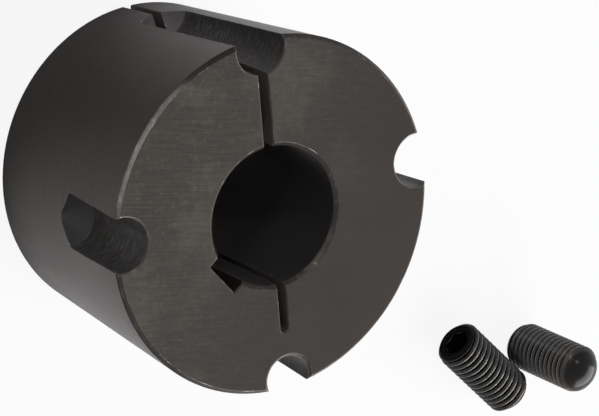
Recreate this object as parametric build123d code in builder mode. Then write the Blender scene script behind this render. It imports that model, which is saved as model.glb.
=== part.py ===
from build123d import *
import math
import os

# Taper lock bushing with its two set screws, in millimetres.
# The bush stands on its small end: the origin is on the bore axis in the small end's face,
# +Z runs up the bore to the large end, and the split through the wall faces +Y.

# Taper body
large_end_diameter = 108.0
bush_length = 76.2
taper_half_angle = 4.0
large_rim_chamfer = 1.2
small_rim_chamfer = 1.0

# Bore and keyway
bore_diameter = 42.0
bore_mouth_chamfer = 1.1
keyway_width = 12.0
keyway_depth = 3.3
keyway_from_split = 126.5

# Split through the wall, and the blind kerf opposite it that lets the bush close
split_direction = 90.0
split_width = 3.0
kerf_width = 2.5
kerf_depth = 15.2

# Half-holes drilled down the joint between the bush and its hub
hole_circle_inset = 2.8
drill_point_angle = 118.0
relief_hole_diameter = 16.2
relief_hole_depth = 54.2
screw_hole_diameter = 16.4
screw_hole_depth = 30.5
screw_hole_from_split = 85.0
jack_hole_diameter = 14.2
jack_hole_depth = 33.0
jack_countersink = 1.0
edge_break = 0.35

# Set screws
screw_diameter = 15.875
screw_length = 34.9
screw_end_chamfer = 1.5
point_sphere_radius = 8.7
point_base_diameter = 14.2
point_chamfer_length = 0.9
socket_across_flats = 7.94
socket_depth = 8.0
socket_mouth_chamfer = 0.9

# Where the screws rest on the bench beside the bush: the left one lies, the right one stands
screw_rest_gap = 104.0
screw_rest_direction = -41.0
left_screw_heading = -50.0
screw_stagger = 12.0
screw_side_gap = 1.0

# Sizes that follow from the ones above
large_end_radius = large_end_diameter / 2
taper_slope = math.tan(math.radians(taper_half_angle))
small_end_radius = large_end_radius - bush_length * taper_slope
bore_radius = bore_diameter / 2
hole_circle_radius = large_end_radius - hole_circle_inset
drill_point_slope = math.tan(math.radians(drill_point_angle / 2))
# Each half-hole: direction round the bush, diameter, full-diameter depth, break at its mouth
half_holes = [
    (split_direction, relief_hole_diameter, relief_hole_depth, edge_break),
    (split_direction + screw_hole_from_split, screw_hole_diameter, screw_hole_depth, edge_break),
    (split_direction - screw_hole_from_split, screw_hole_diameter, screw_hole_depth, edge_break),
    (split_direction + 180, jack_hole_diameter, jack_hole_depth, jack_countersink),
]

def direction_vector(direction):
    """A level unit vector at an angle round the bore."""
    turned = math.radians(direction)
    return Vector(math.cos(turned), math.sin(turned), 0)


def radial_plane(direction):
    """The level plane through the origin, with its X axis turned to a direction round the bore."""
    return Plane(origin=(0, 0, 0), x_dir=direction_vector(direction))


with BuildPart() as bushing:
    # Turned taper, bored through, with both rims and both mouths chamfered
    with BuildSketch(Plane.XZ):
        with BuildLine():
            Polyline(
                (bore_radius, 0),
                (small_end_radius, 0),
                (large_end_radius, bush_length),
                (bore_radius, bush_length),
                close=True,
            )
        make_face()
    revolve(axis=Axis.Z)
    turned_edges = bushing.edges().filter_by(GeomType.CIRCLE)
    chamfer(turned_edges.sort_by(SortBy.RADIUS)[:2], bore_mouth_chamfer)
    chamfer(turned_edges.sort_by(SortBy.RADIUS)[-2], small_rim_chamfer)
    chamfer(turned_edges.sort_by(SortBy.RADIUS)[-1], large_rim_chamfer)

    # Half-holes down the taper, each with its broken mouth and the drill's point at its foot
    for direction, diameter, depth, mouth_break in half_holes:
        outward = direction_vector(direction)
        mouth = outward * hole_circle_radius + Vector(0, 0, bush_length)
        drill_axis = Axis(mouth, (0, 0, 1))
        with BuildSketch(Plane(mouth, x_dir=outward, z_dir=outward.cross(Vector(0, 0, 1)))):
            with BuildLine():
                Polyline(
                    (0, 0),
                    (diameter / 2 + mouth_break, 0),
                    (diameter / 2, -mouth_break),
                    (diameter / 2, -depth),
                    (0, -depth - diameter / 2 / drill_point_slope),
                    close=True,
                )
            make_face()
        revolve(axis=drill_axis, mode=Mode.SUBTRACT)

    # Split, sawn from the bore out through the relief hole and the rim
    with BuildSketch(radial_plane(split_direction)):
        Rectangle(large_end_radius * 2, split_width, align=(Align.MIN, Align.CENTER))
    extrude(amount=bush_length, mode=Mode.SUBTRACT)

    # Kerf, milled from the bore part way into the wall, with the cutter's round end
    with BuildSketch(radial_plane(split_direction + 180)):
        with Locations((bore_radius, 0)):
            SlotOverall(kerf_depth * 2, kerf_width)
    extrude(amount=bush_length, mode=Mode.SUBTRACT)

    # Keyway, broached along the bore
    with BuildSketch(radial_plane(split_direction + keyway_from_split)):
        Rectangle(bore_radius + keyway_depth, keyway_width, align=(Align.MIN, Align.CENTER))
    extrude(amount=bush_length, mode=Mode.SUBTRACT)

    # Broken edges where the split, kerf and keyway meet the end faces
    for end_face in (bushing.faces().sort_by(Axis.Z)[0], bushing.faces().sort_by(Axis.Z)[-1]):
        chamfer(end_face.edges().filter_by(GeomType.LINE), edge_break)

bushing.part.label = "bushing"


def set_screw(socket_plane):
    """A headless screw whose hex socket opens on a plane and whose round point lies up its Z."""
    profile_plane = Plane(
        socket_plane.origin, x_dir=socket_plane.z_dir, z_dir=socket_plane.y_dir
    )
    screw_axis = Axis(socket_plane.origin, socket_plane.z_dir)
    screw_radius = screw_diameter / 2
    point_base_radius = point_base_diameter / 2
    point_height = point_sphere_radius - math.sqrt(point_sphere_radius**2 - point_base_radius**2)
    shoulder = screw_length - point_height
    with BuildPart() as screw:
        # Turned blank: chamfered socket end, straight body, short chamfer and round point
        with BuildSketch(profile_plane):
            with BuildLine():
                Polyline(
                    (screw_length, 0),
                    (0, 0),
                    (0, screw_radius - screw_end_chamfer),
                    (screw_end_chamfer, screw_radius),
                    (shoulder - point_chamfer_length, screw_radius),
                    (shoulder, point_base_radius),
                )
                RadiusArc((shoulder, point_base_radius), (screw_length, 0), point_sphere_radius)
            make_face()
        revolve(axis=screw_axis)
        # Hex socket with a chamfered mouth and the drill's point left at its foot
        with BuildSketch(socket_plane):
            RegularPolygon(socket_across_flats / 2, 6, major_radius=False)
        extrude(amount=socket_depth, mode=Mode.SUBTRACT)
        with Locations(socket_plane):
            Cone(
                socket_across_flats / 2 / math.cos(math.pi / 6) + socket_mouth_chamfer / 2,
                socket_across_flats / 2 / math.cos(math.pi / 6) - socket_mouth_chamfer / 2,
                socket_mouth_chamfer,
                align=(Align.CENTER, Align.CENTER, Align.MIN),
                mode=Mode.SUBTRACT,
            )
        with Locations(socket_plane.offset(socket_depth)):
            Cone(
                socket_across_flats / 2,
                0,
                socket_across_flats / 2 / drill_point_slope,
                align=(Align.CENTER, Align.CENTER, Align.MIN),
                mode=Mode.SUBTRACT,
            )
    return screw


# The left screw lies on its thread, with its socket toward the side that the split faces
left_along = direction_vector(left_screw_heading)
left_middle = direction_vector(screw_rest_direction) * (large_end_radius + screw_rest_gap) + Vector(
    0, 0, screw_diameter / 2
)
left_socket_end = left_middle - left_along * (screw_length / 2)
set_screw_left = set_screw(Plane(left_socket_end, x_dir=(0, 0, 1), z_dir=left_along))
set_screw_left.part.label = "set_screw_left"

# The right screw stands beside it on its flat socket end, with its round point up
across = direction_vector(left_screw_heading + 90)
right_foot = (
    left_middle
    + left_along * screw_stagger
    + across * (screw_diameter + screw_side_gap)
    - Vector(0, 0, screw_diameter / 2)
)
set_screw_right = set_screw(Plane(right_foot, x_dir=across, z_dir=(0, 0, 1)))
set_screw_right.part.label = "set_screw_right"

os.makedirs("parts", exist_ok=True)
for piece in (bushing, set_screw_left, set_screw_right):
    export_step(piece.part, f"parts/{piece.part.label}.step")
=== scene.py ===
import math

import bmesh
import bpy
from mathutils import Matrix, Quaternion, Vector


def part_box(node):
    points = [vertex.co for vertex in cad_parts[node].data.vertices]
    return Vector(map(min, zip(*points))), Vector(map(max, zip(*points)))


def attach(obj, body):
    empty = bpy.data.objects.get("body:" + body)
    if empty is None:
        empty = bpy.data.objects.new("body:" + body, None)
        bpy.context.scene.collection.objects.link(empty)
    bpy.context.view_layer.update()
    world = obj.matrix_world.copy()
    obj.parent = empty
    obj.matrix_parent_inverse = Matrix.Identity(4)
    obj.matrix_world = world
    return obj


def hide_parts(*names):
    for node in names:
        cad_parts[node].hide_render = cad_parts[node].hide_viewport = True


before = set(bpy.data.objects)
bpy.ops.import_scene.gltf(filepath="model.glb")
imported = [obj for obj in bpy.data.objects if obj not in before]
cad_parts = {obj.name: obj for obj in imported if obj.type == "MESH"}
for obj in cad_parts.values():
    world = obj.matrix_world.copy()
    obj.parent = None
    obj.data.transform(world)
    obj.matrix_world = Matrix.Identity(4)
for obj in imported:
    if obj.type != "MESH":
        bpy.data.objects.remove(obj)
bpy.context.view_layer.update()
scene = bpy.context.scene

# The bench: a plain matt white table top that the bushing and its screws rest on.
# Part of its white is a glow that the camera sees and metal hardly mirrors, so the bench stays
# white behind the object and still carries a soft shadow.
bench_size = 12.0
bench_clearance = 0.0001
bench_colour = (0.88, 0.88, 0.88, 1)
bench_glow_seen = 0.9
bench_glow_mirrored = 0.01
white = (1, 1, 1, 1)


def new_object(name, shape):
    """An object of its own from a bmesh, which is freed."""
    mesh = bpy.data.meshes.new(name)
    shape.to_mesh(mesh)
    shape.free()
    piece = bpy.data.objects.new(name, mesh)
    scene.collection.objects.link(piece)
    return piece


def new_material(name):
    """An empty node material and its node tree."""
    material = bpy.data.materials.new(name)
    material.use_nodes = True
    material.node_tree.nodes.clear()
    return material, material.node_tree


def arithmetic(tree, operation, first, second=0.0):
    """One arithmetic node: each term is a number or another node's output."""
    node = tree.nodes.new("ShaderNodeMath")
    node.operation = operation
    for socket, term in zip(node.inputs, (first, second)):
        if isinstance(term, (int, float)):
            socket.default_value = term
        else:
            tree.links.new(term, socket)
    return node.outputs["Value"]


def joined(tree, operation, terms):
    """Two or more terms joined by one operation, from left to right."""
    result = terms[0]
    for term in terms[1:]:
        result = arithmetic(tree, operation, result, term)
    return result


def product(tree, *terms):
    """The terms multiplied together."""
    return joined(tree, "MULTIPLY", terms)


def largest(tree, *terms):
    """The largest of the terms."""
    return joined(tree, "MAXIMUM", terms)


bench = bmesh.new()
bmesh.ops.create_grid(bench, x_segments=1, y_segments=1, size=bench_size / 2)
bmesh.ops.translate(bench, verts=bench.verts, vec=(0, 0, -bench_clearance))
bench_top = new_object("bench", bench)

table_white, tree = new_material("table_white")
output = tree.nodes.new("ShaderNodeOutputMaterial")
matt = tree.nodes.new("ShaderNodeBsdfDiffuse")
matt.inputs["Color"].default_value = bench_colour
glow = tree.nodes.new("ShaderNodeEmission")
glow.inputs["Color"].default_value = white
glow.inputs["Strength"].default_value = 1.0
ray = tree.nodes.new("ShaderNodeLightPath")
mirrored = largest(tree, ray.outputs["Is Glossy Ray"], ray.outputs["Is Transmission Ray"])
glow_share = largest(
    tree,
    product(tree, ray.outputs["Is Camera Ray"], bench_glow_seen),
    product(tree, mirrored, bench_glow_mirrored),
)
blend = tree.nodes.new("ShaderNodeMixShader")
tree.links.new(glow_share, blend.inputs["Fac"])
tree.links.new(matt.outputs["BSDF"], blend.inputs[1])
tree.links.new(glow.outputs["Emission"], blend.inputs[2])
tree.links.new(blend.outputs["Shader"], output.inputs["Surface"])
bench_top.data.materials.append(table_white)

# The bushing: one piece of grey cast iron, turned to its taper, bored, keyed, drilled down its
# joint with the hub and sawn through, then blackened. The black is thin where the tools left
# chamfers and rubs off the edges, and the ground end keeps a straight grain and pale patches.

# Places in the CAD solid, in millimetres and degrees
to_mm = (1000, 1000, 1000)
large_end_height = 76.2
bore_radius = 21.0
cut_half_width = 1.56
kerf_end = -38.0
hole_circle_radius = 51.2
drill_slope = math.tan(math.radians(59))
# Each half-hole: direction round the bush, radius and full depth
half_holes = ((90, 8.1, 54.2), (175, 8.2, 30.5), (5, 8.2, 30.5), (270, 7.1, 33.0))
bore_margin = 0.1
hole_margin = 0.40
hole_foot_margin = 0.15
drill_stop_band = (0.2, 2.6)
# How far a surface faces up or down, from none to all, on the end faces, the sides and the feet
# of the drilled holes
end_face_turn = (0.93, 0.97)
side_turn = (0.45, 0.2)
hole_foot_turn = (0.6, 0.8)

iron_dark = (0.0090, 0.0062, 0.0057, 1)
ground_dark = (0.0150, 0.0108, 0.0088, 1)
bore_dark = (0.0600, 0.0560, 0.0570, 1)
hole_dark = (0.0630, 0.0600, 0.0590, 1)
# The half-holes' feet: a paler colour that paints light on them
hole_foot_painted_light = (0.220, 0.210, 0.210, 1)
hole_pale = (0.180, 0.172, 0.168, 1)
cut_dark = (0.130, 0.125, 0.118, 1)
iron_pale = (0.100, 0.0910, 0.0795, 1)
end_sheen = (1.0, 0.95, 0.90, 1)
side_sheen = (1.0, 0.91, 0.87, 1)
bare_iron = (0.36, 0.345, 0.32, 1)
# Gloss as a refractive index
end_gloss = 1.245
side_gloss = 1.66
hole_gloss = 1.2


def noise(tree, vector, scale, detail, roughness):
    """Cloudy noise over a vector, about 0.5 on average."""
    node = tree.nodes.new("ShaderNodeTexNoise")
    node.inputs["Scale"].default_value = scale
    node.inputs["Detail"].default_value = detail
    node.inputs["Roughness"].default_value = roughness
    tree.links.new(vector, node.inputs["Vector"])
    return node.outputs["Fac"]


def mapped(tree, vector, scale=(1, 1, 1), turn=0.0, place=(0, 0, 0)):
    """A vector stretched, turned about the upright axis in degrees, and moved."""
    node = tree.nodes.new("ShaderNodeMapping")
    node.inputs["Scale"].default_value = scale
    node.inputs["Rotation"].default_value = (0, 0, math.radians(turn))
    node.inputs["Location"].default_value = place
    tree.links.new(vector, node.inputs["Vector"])
    return node.outputs["Vector"]


def between(tree, value, span, shares=(0.0, 1.0)):
    """A value spread so that its span becomes the span of shares, with a smooth start and end."""
    node = tree.nodes.new("ShaderNodeMapRange")
    node.interpolation_type = "SMOOTHSTEP"
    node.inputs["From Min"].default_value = span[0]
    node.inputs["From Max"].default_value = span[1]
    node.inputs["To Min"].default_value = shares[0]
    node.inputs["To Max"].default_value = shares[1]
    tree.links.new(value, node.inputs["Value"])
    return node.outputs["Result"]


def total(tree, *terms):
    """The terms added together."""
    return joined(tree, "ADD", terms)


def less(tree, first, second):
    """The first term less the second."""
    return arithmetic(tree, "SUBTRACT", first, second)


def vector_measure(tree, operation, first, second=None):
    """A number from a vector, or from two: the second is a vector or another node's output."""
    node = tree.nodes.new("ShaderNodeVectorMath")
    node.operation = operation
    tree.links.new(first, node.inputs[0])
    if isinstance(second, tuple):
        node.inputs[1].default_value = second
    elif second is not None:
        tree.links.new(second, node.inputs[1])
    return node.outputs["Value"]


def tinted(tree, share, first, second):
    """A colour between two, by a share from 0 to 1; each is a colour or another node's output."""
    node = tree.nodes.new("ShaderNodeMix")
    node.data_type = "RGBA"
    tree.links.new(share, node.inputs["Factor"])
    for socket, term in zip((node.inputs[6], node.inputs[7]), (first, second)):
        if isinstance(term, tuple):
            socket.default_value = term
        else:
            tree.links.new(term, socket)
    return node.outputs[2]


def rubbed_edges(tree, radius):
    """How strongly a spot lies on an outer edge, 0 to 1: an edge is where a rounded surface
    would lean away from the real one, and an outer edge has nothing close in front of it."""
    edge_lean = (0.008, 0.08)
    open_share = (0.75, 0.95)
    rounded = tree.nodes.new("ShaderNodeBevel")
    rounded.samples = 8
    rounded.inputs["Radius"].default_value = radius
    surface = tree.nodes.new("ShaderNodeNewGeometry")
    likeness = vector_measure(
        tree, "DOT_PRODUCT", rounded.outputs["Normal"], surface.outputs["Normal"]
    )
    on_edge = between(tree, less(tree, 1.0, likeness), edge_lean)
    opening = tree.nodes.new("ShaderNodeAmbientOcclusion")
    opening.samples = 6
    opening.only_local = True
    opening.inputs["Distance"].default_value = radius * 3
    outer = between(tree, opening.outputs["AO"], open_share)
    return product(tree, on_edge, outer), rounded.outputs["Normal"]


def inside_hole(tree, flat, height, direction, radius, depth):
    """Two masks for a half-hole: its wall and foot, and the band just above where the drill
    stopped."""
    swung = math.radians(direction)
    middle = (hole_circle_radius * math.cos(swung), hole_circle_radius * math.sin(swung), 0)
    inward = less(tree, radius, vector_measure(tree, "DISTANCE", flat, middle))
    near_axis = arithmetic(tree, "GREATER_THAN", inward, -hole_margin)
    cone = arithmetic(tree, "DIVIDE", inward, drill_slope)
    above = total(tree, height, cone, depth - large_end_height)
    above_cone = arithmetic(tree, "GREATER_THAN", above, -hole_foot_margin)
    mask = product(tree, near_axis, above_cone)
    stopped = between(tree, above, drill_stop_band, (1.0, 0.0))
    return mask, product(tree, mask, stopped)


def add_tooth(tree, shader, height, normal, strength, depth):
    """A fine tooth on a shader's surface, over a normal."""
    tooth = tree.nodes.new("ShaderNodeBump")
    tooth.inputs["Strength"].default_value = strength
    tooth.inputs["Distance"].default_value = depth
    tree.links.new(height, tooth.inputs["Height"])
    tree.links.new(normal, tooth.inputs["Normal"])
    tree.links.new(tooth.outputs["Normal"], shader.inputs["Normal"])


def new_metal(name):
    """A metal finish: its material, its node tree and its shader."""
    material, tree = new_material(name)
    output = tree.nodes.new("ShaderNodeOutputMaterial")
    shader = tree.nodes.new("ShaderNodeBsdfPrincipled")
    tree.links.new(shader.outputs["BSDF"], output.inputs["Surface"])
    return material, tree, shader


blackened_iron, tree, iron = new_metal("blackened_iron_finish")
place = tree.nodes.new("ShaderNodeTexCoord")
in_mm = mapped(tree, place.outputs["Object"], scale=to_mm)
facing = tree.nodes.new("ShaderNodeSeparateXYZ")
tree.links.new(place.outputs["Normal"], facing.inputs["Vector"])
upright = arithmetic(tree, "ABSOLUTE", facing.outputs["Z"])
on_end = between(tree, upright, end_face_turn)
on_side = between(tree, upright, side_turn)
spot = tree.nodes.new("ShaderNodeSeparateXYZ")
tree.links.new(in_mm, spot.inputs["Vector"])
flat = mapped(tree, in_mm, scale=(1, 1, 0))

# Where the half-holes, the chamfers, the bore and the split and kerf are, as masks
hole_masks = []
stop_masks = []
for direction, radius, depth in half_holes:
    in_hole, drill_stop = inside_hole(tree, flat, spot.outputs["Z"], direction, radius, depth)
    hole_masks.append(in_hole)
    stop_masks.append(drill_stop)
in_holes = largest(tree, *hole_masks)
drill_stops = product(tree, largest(tree, *stop_masks), on_side)
off_flats = less(tree, 1.0, total(tree, on_end, on_side))
on_chamfer = largest(tree, less(tree, off_flats, in_holes), 0.0)
bore_reach = vector_measure(tree, "LENGTH", flat)
in_bore = arithmetic(tree, "LESS_THAN", bore_reach, bore_radius + bore_margin)
off_middle = arithmetic(tree, "ABSOLUTE", spot.outputs["X"])
in_cut = product(
    tree,
    arithmetic(tree, "LESS_THAN", off_middle, cut_half_width),
    arithmetic(tree, "GREATER_THAN", spot.outputs["Y"], kerf_end),
    on_side,
)

# The turned sides are smoother, so they mirror more; the drilled holes mirror little
turned_gloss = between(tree, on_side, (0.0, 1.0), (end_gloss, side_gloss))
gloss = total(
    tree,
    product(tree, turned_gloss, less(tree, 1.0, in_holes)),
    product(tree, in_holes, hole_gloss),
)
tree.links.new(gloss, iron.inputs["IOR"])
tree.links.new(tinted(tree, on_side, end_sheen, side_sheen), iron.inputs["Specular Tint"])

# Clouds, flecks, a straight grinding grain, turning rings, speckle and a drill's strokes
grain_direction = -14.6
cloud_map = mapped(tree, in_mm, scale=(0.045, 0.045, 0.03), place=(3.1, 0.4, 0))
grain_map = mapped(tree, mapped(tree, in_mm, turn=-grain_direction), scale=(0.08, 1.6, 0.3))
ring_map = mapped(tree, in_mm, scale=(0.05, 0.05, 1.3))
stroke_map = mapped(tree, in_mm, scale=(0.35, 0.35, 2.2))
clouds = noise(tree, cloud_map, scale=1.0, detail=6, roughness=0.62)
patches = between(tree, clouds, (0.44, 0.68))
flecks = between(tree, noise(tree, in_mm, scale=0.55, detail=4, roughness=0.6), (0.5, 0.72))
grain = noise(tree, grain_map, scale=1.0, detail=3, roughness=0.5)
rings = noise(tree, ring_map, scale=1.0, detail=3, roughness=0.6)
speckle = noise(tree, in_mm, scale=2.4, detail=2, roughness=0.5)
strokes = noise(tree, stroke_map, scale=1.0, detail=4, roughness=0.6)

# How pale the oxide is: most on the ground end, where the pale marks fade out away from the camera
# side, a painted sheen
away_from_camera = (0.82, -0.57, 0)
painted_sheen_span = (-36, 40)
painted_sheen_shares = (1.6, 0.0)
end_paleness = 0.14
patch_paleness = 0.22
end_fleck_paleness = 0.17
grain_span = (0.35, 0.7)
grain_paleness = 0.12
ring_span = (0.42, 0.62)
ring_paleness = 0.10
side_fleck_paleness = 0.10
speckle_span = (0.3, 0.8)
speckle_paleness = 0.07

reach_away_from_camera = vector_measure(tree, "DOT_PRODUCT", in_mm, away_from_camera)
end_marks = total(
    tree,
    product(tree, patches, patch_paleness),
    product(tree, flecks, end_fleck_paleness),
    between(tree, grain, grain_span, (0.0, grain_paleness)),
    end_paleness,
)
# The end's pale marks fade away from the camera side: a painted sheen.
painted_sheen_on_end = between(tree, reach_away_from_camera, painted_sheen_span, painted_sheen_shares)
side_marks = total(
    tree,
    between(tree, rings, ring_span, (0.0, ring_paleness)),
    product(tree, flecks, side_fleck_paleness),
)
pale_share = total(
    tree,
    product(tree, end_marks, painted_sheen_on_end, on_end),
    product(tree, side_marks, on_side),
    between(tree, speckle, speckle_span, (0.0, speckle_paleness)),
)

# The black of each place, with the drill's pale strokes in the half-holes; the feet of the
# half-holes, which face up, are painted paler, a painted light on them
stroke_span = (0.46, 0.68)
stroke_paleness = 0.75
drill_stop_paleness = 0.3

drilled = total(
    tree,
    product(tree, between(tree, strokes, stroke_span, (0.0, stroke_paleness)), on_side),
    product(tree, drill_stops, drill_stop_paleness),
)
# The half-holes' feet get a paler colour: painted light.
at_foot = between(tree, upright, hole_foot_turn)
hole_colour = tinted(tree, at_foot, hole_dark, hole_foot_painted_light)
hole_colour = tinted(tree, drilled, hole_colour, hole_pale)
black_colour = tinted(tree, on_end, iron_dark, ground_dark)
black_colour = tinted(tree, in_holes, black_colour, hole_colour)
black_colour = tinted(tree, in_bore, black_colour, bore_dark)
black_colour = tinted(tree, in_cut, black_colour, cut_dark)
oxide_colour = tinted(tree, pale_share, black_colour, iron_pale)

# Bare iron on the rubbed edges and, thinly, on the turned chamfers; on the rim's chamfer toward the
# camera the iron is made barer still, a painted glint
worn_edge_radius = 0.00045
broken_span = (0.50, 0.68)
edge_bareness = 0.7
chamfer_cloud_span = (0.25, 0.7)
chamfer_bareness = (0.10, 0.24)
rim_glint_span = (-54, -46)
rim_glint_shares = (2.6, 0.6)
rim_fleck_span = (0.0, 0.8)
rim_fleck_shares = (0.85, 1.4)
rim_height_span = (74.9, 75.7)
rim_height_shares = (0.45, 1.0)
metal_span = (0.0, 0.2)
metal_shares = (0.0, 0.9)

edges, rounded_normal = rubbed_edges(tree, worn_edge_radius)
broken = between(tree, noise(tree, in_mm, scale=0.30, detail=4, roughness=0.7), broken_span)
# The rim's chamfer is barer and more metallic toward the camera side: a painted glint.
rim_painted_glint = product(
    tree,
    between(tree, reach_away_from_camera, rim_glint_span, rim_glint_shares),
    between(tree, flecks, rim_fleck_span, rim_fleck_shares),
    between(tree, spot.outputs["Z"], rim_height_span, rim_height_shares),
)
thin_black = product(tree, on_chamfer, between(tree, clouds, chamfer_cloud_span, chamfer_bareness))
bare_share = largest(
    tree,
    product(tree, product(tree, edges, broken), edge_bareness),
    product(tree, thin_black, rim_painted_glint),
)
tree.links.new(tinted(tree, bare_share, oxide_colour, bare_iron), iron.inputs["Base Color"])
tree.links.new(between(tree, bare_share, metal_span, metal_shares), iron.inputs["Metallic"])

# A matt finish, less so on the chamfers, with a fine tooth
matt_span = (0.3, 0.75)
matt_shares = (0.31, 0.41)
patch_matt = 0.05
chamfer_smoothness = 0.14

matt_share = total(
    tree,
    between(tree, speckle, matt_span, matt_shares),
    product(tree, patches, patch_matt),
)
matt_share = less(tree, matt_share, product(tree, on_chamfer, chamfer_smoothness))
tree.links.new(matt_share, iron.inputs["Roughness"])
relief = total(tree, speckle, product(tree, grain, on_end), product(tree, rings, on_side))
add_tooth(tree, iron, relief, rounded_normal, strength=0.35, depth=0.00003)

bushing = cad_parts["bushing"]
bushing.data.materials.clear()
bushing.data.materials.append(blackened_iron)

# The set screws: two alloy-steel screws with a rolled thread, a hex socket and a round point,
# black oxide all over. The left one lies with its socket in view and the right one stands on
# its socket end, where the CAD nodes have them.
left_heading = -50.0
thread_pitch = 0.0254 / 11
thread_depth = 0.00138
thread_flank_run = thread_depth * math.tan(math.radians(30))
crest_width = thread_pitch * 0.14
crest_round = 0.00009
crest_round_drop = crest_round * 1.4
crest_round_run = crest_round * 0.7
root_round = thread_depth * 0.08
root_flat_share = 0.6
thread_steps = 72
thread_overrun_turns = 3
blank_steps = 96
blank_allowance = 0.00012
point_sphere_radius = 0.0087
point_base_radius = 0.0071
point_chamfer_length = 0.0009
point_arc_steps = 14
socket_end_chamfer = 0.0015
socket_across_flats = 0.00794
socket_corner_radius = socket_across_flats / 2 / math.cos(math.pi / 6)
socket_depth = 0.0080
socket_mouth_chamfer = 0.0009
overrun = 0.0004
turned_weld = 0.000001
thread_weld = 0.000002
sliver_size = 0.00001
sharp_angle = math.radians(40)

right_low, right_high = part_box("set_screw_right")
left_low, left_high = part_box("set_screw_left")
screw_length = right_high.z - right_low.z
screw_radius = (left_high.z - left_low.z) / 2


def outline_in(shape, outline):
    """The corners and lines of an outline of (radius, height) points, drawn beside Z."""
    corners = [shape.verts.new((radius, 0, height)) for radius, height in outline]
    lines = [shape.edges.new(pair) for pair in zip(corners, corners[1:])]
    return corners + lines


def turned(name, outline):
    """A closed solid turned about Z from an outline that starts and ends on the axis."""
    solid = bmesh.new()
    bmesh.ops.spin(
        solid, geom=outline_in(solid, outline), cent=(0, 0, 0), axis=(0, 0, 1),
        angle=math.tau, steps=blank_steps, use_merge=True,
    )
    bmesh.ops.remove_doubles(solid, verts=solid.verts, dist=turned_weld)
    bmesh.ops.recalc_face_normals(solid, faces=solid.faces)
    return new_object(name, solid)


def thread_rod(name):
    """A rod with the thread along its whole length, a little longer than the screw: one tooth's
    outline is swept up a helix, and each turn is joined to the next."""
    root = screw_radius - thread_depth
    flank_start = (thread_pitch - crest_width - 2 * thread_flank_run) / 2
    crest_start = flank_start + thread_flank_run
    crest_end = crest_start + crest_width
    tooth_outline = [
        (root, 0),
        (root, flank_start * root_flat_share),
        (root + root_round, flank_start),
        (screw_radius - crest_round_drop, crest_start - crest_round_run),
        (screw_radius, crest_start + crest_round),
        (screw_radius, crest_end - crest_round),
        (screw_radius - crest_round_drop, crest_end + crest_round_run),
        (root + root_round, thread_pitch - flank_start),
        (root, thread_pitch - flank_start * root_flat_share),
        (root, thread_pitch),
    ]
    first_turn = -thread_pitch * thread_overrun_turns / 2
    turns = math.ceil(screw_length / thread_pitch) + thread_overrun_turns
    rod = bmesh.new()
    lowered = [(radius, height + first_turn) for radius, height in tooth_outline]
    bmesh.ops.spin(
        rod, geom=outline_in(rod, lowered), cent=(0, 0, 0), axis=(0, 0, 1),
        angle=math.tau * turns, steps=thread_steps * turns,
        dvec=(0, 0, thread_pitch / thread_steps),
    )
    bmesh.ops.remove_doubles(rod, verts=rod.verts, dist=thread_weld)
    for height, side in ((-overrun, -1), (screw_length + overrun, 1)):
        bmesh.ops.bisect_plane(
            rod, geom=rod.verts[:] + rod.edges[:] + rod.faces[:],
            plane_co=(0, 0, height), plane_no=(0, 0, side), clear_outer=True,
        )
    open_edges = [edge for edge in rod.edges if edge.is_boundary]
    bmesh.ops.holes_fill(rod, edges=open_edges)
    bmesh.ops.recalc_face_normals(rod, faces=rod.faces)
    return new_object(name, rod)


def hex_broach(name):
    """The broach that cuts the socket: a hexagonal bar."""
    bar = bmesh.new()
    bar_length = socket_depth + overrun
    bmesh.ops.create_cone(
        bar, cap_ends=True, segments=6, radius1=socket_corner_radius, radius2=socket_corner_radius,
        depth=bar_length, matrix=Matrix.Translation((0, 0, bar_length / 2 - overrun)),
    )
    return new_object(name, bar)


# One screw is cut from a threaded rod: to the blank's outline, then by the socket's tools
rod = thread_rod("screw_thread")
point_height = point_sphere_radius - math.sqrt(point_sphere_radius**2 - point_base_radius**2)
shoulder = screw_length - point_height
blank_radius = screw_radius + blank_allowance
point_arc = math.asin(point_base_radius / point_sphere_radius)
blank_outline = [
    (0, 0),
    (screw_radius - socket_end_chamfer, 0),
    (blank_radius, socket_end_chamfer + blank_allowance),
    (blank_radius, shoulder - point_chamfer_length),
    (point_base_radius, shoulder),
]
for step in range(1, point_arc_steps + 1):
    swung = point_arc * (1 - step / point_arc_steps)
    blank_outline.append((
        point_sphere_radius * math.sin(swung),
        screw_length - point_sphere_radius * (1 - math.cos(swung)),
    ))
blank = turned("screw_blank", blank_outline)
mouth = turned("socket_mouth", [
    (0, -overrun),
    (socket_corner_radius + socket_mouth_chamfer / 2 + overrun, -overrun),
    (socket_corner_radius - socket_mouth_chamfer / 2, socket_mouth_chamfer),
    (0, socket_mouth_chamfer),
])
drill_end = turned("socket_drill_end", [
    (0, socket_depth - overrun),
    (socket_across_flats / 2, socket_depth - overrun),
    (socket_across_flats / 2, socket_depth),
    (0, socket_depth + socket_across_flats / 2 / drill_slope),
])
broach = hex_broach("socket_broach")
cuts = (
    ("INTERSECT", blank),
    ("DIFFERENCE", broach),
    ("DIFFERENCE", mouth),
    ("DIFFERENCE", drill_end),
)
for operation, tool in cuts:
    cut = rod.modifiers.new(tool.name, "BOOLEAN")
    cut.operation = operation
    cut.solver = "EXACT"
    cut.object = tool
depsgraph = bpy.context.evaluated_depsgraph_get()
cut_mesh = bpy.data.meshes.new_from_object(rod.evaluated_get(depsgraph))
for piece in (rod, blank, mouth, drill_end, broach):
    bpy.data.objects.remove(piece)

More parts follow.
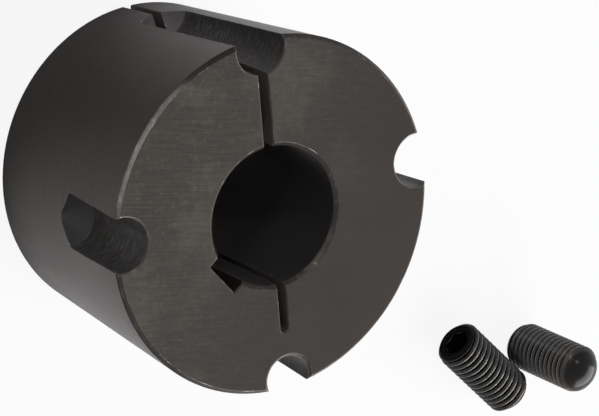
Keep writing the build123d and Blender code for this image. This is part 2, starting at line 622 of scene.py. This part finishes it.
# The cut solid's corners and faces come in no fixed order, so they are put in one: then every
# run closes up the same corners and gives the same screw
corners = [tuple(vertex.co) for vertex in cut_mesh.vertices]
order = sorted(range(len(corners)), key=lambda number: corners[number])
rank = {number: sorted_number for sorted_number, number in enumerate(order)}
rings = []
for face in cut_mesh.polygons:
    ring = [rank[number] for number in face.vertices]
    first = ring.index(min(ring))
    rings.append(ring[first:] + ring[:first])
screw_mesh = bpy.data.meshes.new("set_screw")
screw_mesh.from_pydata([corners[number] for number in order], [], sorted(rings))

# The slivers that the cuts leave are closed up, so the screw stays one clean solid
cut_screw = bmesh.new()
cut_screw.from_mesh(screw_mesh)
bmesh.ops.remove_doubles(cut_screw, verts=cut_screw.verts, dist=sliver_size)
bmesh.ops.dissolve_degenerate(cut_screw, edges=cut_screw.edges, dist=sliver_size / 2)
crowded = [face for face in cut_screw.faces if len(face.verts) > 4]
bmesh.ops.triangulate(cut_screw, faces=crowded)
loose = [edge for edge in cut_screw.edges if not edge.link_faces]
bmesh.ops.delete(cut_screw, geom=loose, context="EDGES")
bmesh.ops.recalc_face_normals(cut_screw, faces=cut_screw.faces)
cut_screw.to_mesh(screw_mesh)
cut_screw.free()

# The finish follows how far a spot is from the screw's axis and from its socket end
from_axis = screw_mesh.attributes.new("from_axis", "FLOAT", "POINT")
from_socket = screw_mesh.attributes.new("from_socket", "FLOAT", "POINT")
for vertex in screw_mesh.vertices:
    from_axis.data[vertex.index].value = math.hypot(vertex.co.x, vertex.co.y) / screw_radius
    from_socket.data[vertex.index].value = vertex.co.z / screw_length

oxide_black = (0.0085, 0.0077, 0.0074, 1)
oxide_brown = (0.028, 0.018, 0.014, 1)
rubbed_steel = (0.34, 0.33, 0.315, 1)
# Spans along the screw, as shares of its length
body_span = (0.90, 0.87)
point_span = (0.89, 0.92)
brown_start = (0.62, 0.84)
brown_end = (0.94, 0.87)
# Spans out from its axis, as shares of its radius
crest_span = (0.975, 0.998)
flank_span = (0.87, 0.97)
groove_span = (0.95, 0.84)
brown_cloud_span = (0.4, 0.62)
brown_everywhere = 0.15
worn_edge_width = 0.00022
crest_bareness = 0.60
flank_bareness = 0.09
screw_edge_bareness = 0.35
broken_speckle_span = (0.35, 0.65)
broken_speckle_shares = (0.5, 1.0)
body_gloss = 1.45
groove_gloss = 1.07
point_gloss_drop = 0.20
body_roughness = 0.27
point_roughness = 0.21


def own_attribute(tree, name):
    """A number that the piece carries at each of its points."""
    node = tree.nodes.new("ShaderNodeAttribute")
    node.attribute_name = name
    return node.outputs["Fac"]


black_oxide, tree, steel = new_metal("black_oxide_finish")
place = tree.nodes.new("ShaderNodeTexCoord")
in_mm = mapped(tree, place.outputs["Object"], scale=to_mm)
radial = own_attribute(tree, "from_axis")
lengthwise = own_attribute(tree, "from_socket")
body = between(tree, lengthwise, body_span)
on_point = between(tree, lengthwise, point_span)
clouds = noise(tree, in_mm, scale=0.3, detail=4, roughness=0.6)
speckle = noise(tree, in_mm, scale=3.0, detail=2, roughness=0.5)
near_point = product(
    tree,
    between(tree, lengthwise, brown_start),
    between(tree, lengthwise, brown_end),
)
brown_share = product(
    tree,
    between(tree, clouds, brown_cloud_span),
    total(tree, near_point, brown_everywhere),
)
oxide_colour = tinted(tree, brown_share, oxide_black, oxide_brown)
edges, rounded_normal = rubbed_edges(tree, worn_edge_width)
crests = between(tree, radial, crest_span, (0.0, crest_bareness))
flanks = product(tree, between(tree, radial, flank_span, (0.0, flank_bareness)), body)
rubbed = product(
    tree,
    largest(tree, product(tree, edges, screw_edge_bareness), largest(tree, crests, flanks)),
    between(tree, speckle, broken_speckle_span, broken_speckle_shares),
)
tree.links.new(tinted(tree, rubbed, oxide_colour, rubbed_steel), steel.inputs["Base Color"])
tree.links.new(between(tree, rubbed, metal_span, metal_shares), steel.inputs["Metallic"])
in_groove = product(tree, between(tree, radial, groove_span), body)
gloss = less(
    tree,
    between(tree, in_groove, (0.0, 1.0), (body_gloss, groove_gloss)),
    product(tree, on_point, point_gloss_drop),
)
tree.links.new(gloss, steel.inputs["IOR"])
roughness = between(tree, on_point, (0.0, 1.0), (body_roughness, point_roughness))
tree.links.new(roughness, steel.inputs["Roughness"])
add_tooth(tree, steel, speckle, rounded_normal, strength=0.25, depth=0.00002)


def placed(node, socket_middle, along, across):
    """A copy of the screw with its socket end at a point and its round point along a direction."""
    mesh = screw_mesh.copy()
    mesh.name = node + "_threaded"
    square = along.cross(across)
    turn = Matrix((across, square, along)).transposed().to_4x4()
    mesh.transform(Matrix.Translation(socket_middle) @ turn)
    mesh.shade_smooth()
    mesh.set_sharp_from_angle(angle=sharp_angle)
    mesh.materials.clear()
    mesh.materials.append(black_oxide)
    piece = bpy.data.objects.new(mesh.name, mesh)
    scene.collection.objects.link(piece)
    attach(piece, "root")
    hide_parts(node)


up = Vector((0, 0, 1))
heading = math.radians(left_heading)
left_along = Vector((math.cos(heading), math.sin(heading), 0))
left_socket_end = (left_low + left_high) / 2 - left_along * screw_length / 2
placed("set_screw_left", left_socket_end, left_along, up)
right_middle = (right_low + right_high) / 2
right_foot = Vector((right_middle.x, right_middle.y, right_low.z))
right_across = Vector((-math.sin(heading), math.cos(heading), 0))
placed("set_screw_right", right_foot, up, right_across)

# The studio: a plain white room. A wide softbox behind the object lights the bench that the
# turned sides mirror and leaves the object's soft shadow in front of it; a thin strip in front
# draws the rim's chamfer, and a small softbox above gives the round point its highlight.
room_level = 0.05

room = bpy.data.worlds.new("white_room")
scene.world = room
room.use_nodes = True
tree = room.node_tree
walls = tree.nodes["Background"]
walls.inputs["Color"].default_value = white
ray = tree.nodes.new("ShaderNodeLightPath")
seen = largest(
    tree,
    ray.outputs["Is Camera Ray"],
    ray.outputs["Is Glossy Ray"],
    ray.outputs["Is Transmission Ray"],
)
strength = total(tree, room_level, product(tree, seen, 1 - room_level))
tree.links.new(strength, walls.inputs["Strength"])


def softbox(name, direction, elevation, distance, width, height, power):
    """An area lamp that faces the object from a direction round it and above it."""
    lamp = bpy.data.lights.new(name, "AREA")
    lamp.shape = "RECTANGLE"
    lamp.size = width
    lamp.size_y = height
    lamp.energy = power
    holder = bpy.data.objects.new(name, lamp)
    swung = math.radians(direction)
    raised = math.radians(elevation)
    outward = Vector((
        math.cos(swung) * math.cos(raised),
        math.sin(swung) * math.cos(raised),
        math.sin(raised),
    ))
    holder.location = outward * distance
    holder.rotation_mode = "QUATERNION"
    holder.rotation_quaternion = outward.to_track_quat("Z", "Y")
    scene.collection.objects.link(holder)


softbox("key_softbox", direction=-51, elevation=27, distance=2.6, width=3.7, height=2.0, power=140)
softbox("front_strip", direction=127, elevation=38, distance=1.6, width=1.6, height=0.16, power=2.0)
softbox("top_softbox", direction=82, elevation=59, distance=1.6, width=0.18, height=0.18, power=2.2)

# The camera: a long lens that looks down on the large end, rolled as in the photograph.
camera_place = Vector((-0.5074, 0.3433, 0.9041))
camera_aim = Vector((0.0322, -0.0154, 0.0381))
camera_roll = 113.28
lens_length = 213.2
sensor_width = 36

lens = bpy.data.cameras.new("camera")
lens.sensor_fit = "HORIZONTAL"
lens.sensor_width = sensor_width
lens.lens = lens_length
lens.clip_start = 0.1
lens.clip_end = 20
camera = bpy.data.objects.new("camera", lens)
camera.location = camera_place
camera.rotation_mode = "QUATERNION"
level_view = (camera_aim - camera_place).to_track_quat("-Z", "Y")
camera.rotation_quaternion = level_view @ Quaternion((0, 0, 1), math.radians(camera_roll))
scene.collection.objects.link(camera)
scene.camera = camera
scene.view_settings.view_transform = "Standard"
